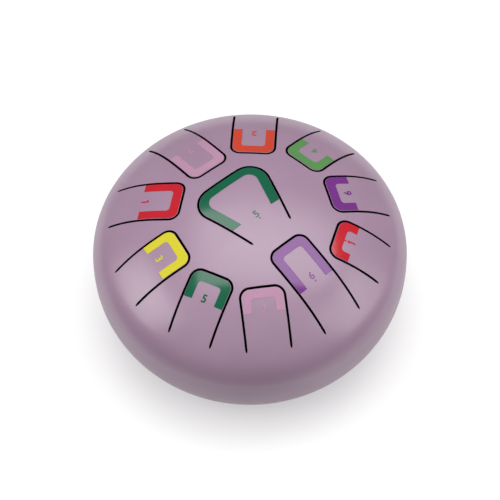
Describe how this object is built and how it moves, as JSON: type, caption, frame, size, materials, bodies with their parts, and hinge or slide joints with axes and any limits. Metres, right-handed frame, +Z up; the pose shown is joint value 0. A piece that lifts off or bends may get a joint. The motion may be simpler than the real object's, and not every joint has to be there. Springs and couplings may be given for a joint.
{
  "type": "tongue drum",
  "caption": "Small round steel tongue drum: two welded shells, sprung tongues cut in the crown, coloured vinyl edging and numerals, sound hole and rubber feet below.",
  "frame": {"origin": "on the drum's axis, at the level that its feet stand on", "axes": "+Z up along the drum's axis, -Y towards the player, +X to the player's right"},
  "size_m": [0.155, 0.155, 0.0875],
  "materials": {
    "lilac_paint": "satin lilac lacquer on steel sheet, slightly wavy, soft highlights",
    "rubber": "matt black moulded rubber",
    "vinyl_red": "glossy self-adhesive vinyl film, red",
    "vinyl_orange": "glossy self-adhesive vinyl film, orange",
    "vinyl_yellow": "glossy self-adhesive vinyl film, yellow",
    "vinyl_light_green": "glossy self-adhesive vinyl film, light green",
    "vinyl_dark_green": "glossy self-adhesive vinyl film, dark green",
    "vinyl_purple": "glossy self-adhesive vinyl film, purple",
    "vinyl_pink": "glossy self-adhesive vinyl film, pink"
  },
  "bodies": {
    "body": {"top_shell": "lilac_paint", "bottom_shell": "lilac_paint", "foot_front_left": "rubber", "foot_front_right": "rubber", "foot_back_right": "rubber", "foot_back_left": "rubber"},
    "tongue_low_5": {"tongue_low_5": "lilac_paint", "band_low_5": "vinyl_dark_green", "numeral_low_5": "vinyl_dark_green", "octave_dot_low_5": "vinyl_dark_green"},
    "tongue_low_6": {"tongue_low_6": "lilac_paint", "band_low_6": "vinyl_purple", "numeral_low_6": "vinyl_purple", "octave_dot_low_6": "vinyl_purple"},
    "tongue_low_7": {"tongue_low_7": "lilac_paint", "band_low_7": "vinyl_pink", "numeral_low_7": "vinyl_pink", "octave_dot_low_7": "vinyl_pink"},
    "tongue_mid_1": {"tongue_mid_1": "lilac_paint", "band_mid_1": "vinyl_red", "numeral_mid_1": "vinyl_red"},
    "tongue_mid_2": {"tongue_mid_2": "lilac_paint", "band_mid_2": "vinyl_orange", "numeral_mid_2": "vinyl_orange"},
    "tongue_mid_3": {"tongue_mid_3": "lilac_paint", "band_mid_3": "vinyl_yellow", "numeral_mid_3": "vinyl_yellow"},
    "tongue_mid_4": {"tongue_mid_4": "lilac_paint", "band_mid_4": "vinyl_light_green", "numeral_mid_4": "vinyl_light_green"},
    "tongue_mid_5": {"tongue_mid_5": "lilac_paint", "band_mid_5": "vinyl_dark_green", "numeral_mid_5": "vinyl_dark_green"},
    "tongue_mid_6": {"tongue_mid_6": "lilac_paint", "band_mid_6": "vinyl_purple", "numeral_mid_6": "vinyl_purple"},
    "tongue_mid_7": {"tongue_mid_7": "lilac_paint", "band_mid_7": "vinyl_pink", "numeral_mid_7": "vinyl_pink"},
    "tongue_high_1": {"tongue_high_1": "lilac_paint", "band_high_1": "vinyl_red", "numeral_high_1": "vinyl_red", "octave_dot_high_1": "vinyl_red"}
  },
  "joints": [
    {"name": "flex_low_5", "type": "hinge", "parent": "body", "child": "tongue_low_5", "pos_m": [0.01073, -0.01358, 0.08559], "axis": [-0.7848, -0.6198, 0], "range_deg": [-0.74, 0.74], "stiffness_Nm_per_rad": 122.1},
    {"name": "flex_low_6", "type": "hinge", "parent": "body", "child": "tongue_low_6", "pos_m": [0.04352, -0.05223, 0.06611], "axis": [-0.7683, -0.6401, 0], "range_deg": [-0.67, 0.67], "stiffness_Nm_per_rad": 82},
    {"name": "flex_low_7", "type": "hinge", "parent": "body", "child": "tongue_low_7", "pos_m": [-0.04034, 0.05472, 0.06611], "axis": [0.8049, 0.5934, 0], "range_deg": [-0.75, 0.75], "stiffness_Nm_per_rad": 91.7},
    {"name": "flex_mid_1", "type": "hinge", "parent": "body", "child": "tongue_mid_1", "pos_m": [-0.06655, 0.0139, 0.06611], "axis": [0.2045, 0.9789, 0], "range_deg": [-0.81, 0.81], "stiffness_Nm_per_rad": 99.2},
    {"name": "flex_mid_2", "type": "hinge", "parent": "body", "child": "tongue_mid_2", "pos_m": [0.00427, 0.06785, 0.06611], "axis": [0.998, -0.0628, 0], "range_deg": [-0.84, 0.84], "stiffness_Nm_per_rad": 102.7},
    {"name": "flex_mid_3", "type": "hinge", "parent": "body", "child": "tongue_mid_3", "pos_m": [-0.05997, -0.03202, 0.06611], "axis": [-0.471, 0.8821, 0], "range_deg": [-0.9, 0.9], "stiffness_Nm_per_rad": 110.2},
    {"name": "flex_mid_4", "type": "hinge", "parent": "body", "child": "tongue_mid_4", "pos_m": [0.04424, 0.05162, 0.06611], "axis": [0.7593, -0.6508, 0], "range_deg": [-0.96, 0.96], "stiffness_Nm_per_rad": 117.2},
    {"name": "flex_mid_5", "type": "hinge", "parent": "body", "child": "tongue_mid_5", "pos_m": [-0.02959, -0.06121, 0.06611], "axis": [-0.9003, 0.4352, 0], "range_deg": [-0.96, 0.96], "stiffness_Nm_per_rad": 116.8},
    {"name": "flex_mid_6", "type": "hinge", "parent": "body", "child": "tongue_mid_6", "pos_m": [0.06564, 0.01771, 0.06611], "axis": [0.2605, -0.9655, 0], "range_deg": [-1, 1], "stiffness_Nm_per_rad": 122.1},
    {"name": "flex_mid_7", "type": "hinge", "parent": "body", "child": "tongue_mid_7", "pos_m": [0.00829, -0.06748, 0.06611], "axis": [-0.9925, -0.1219, 0], "range_deg": [-1.08, 1.08], "stiffness_Nm_per_rad": 131.3},
    {"name": "flex_high_1", "type": "hinge", "parent": "body", "child": "tongue_high_1", "pos_m": [0.0647, -0.0209, 0.06611], "axis": [-0.3074, -0.9516, 0], "range_deg": [-1.11, 1.11], "stiffness_Nm_per_rad": 135.9}
  ]
}
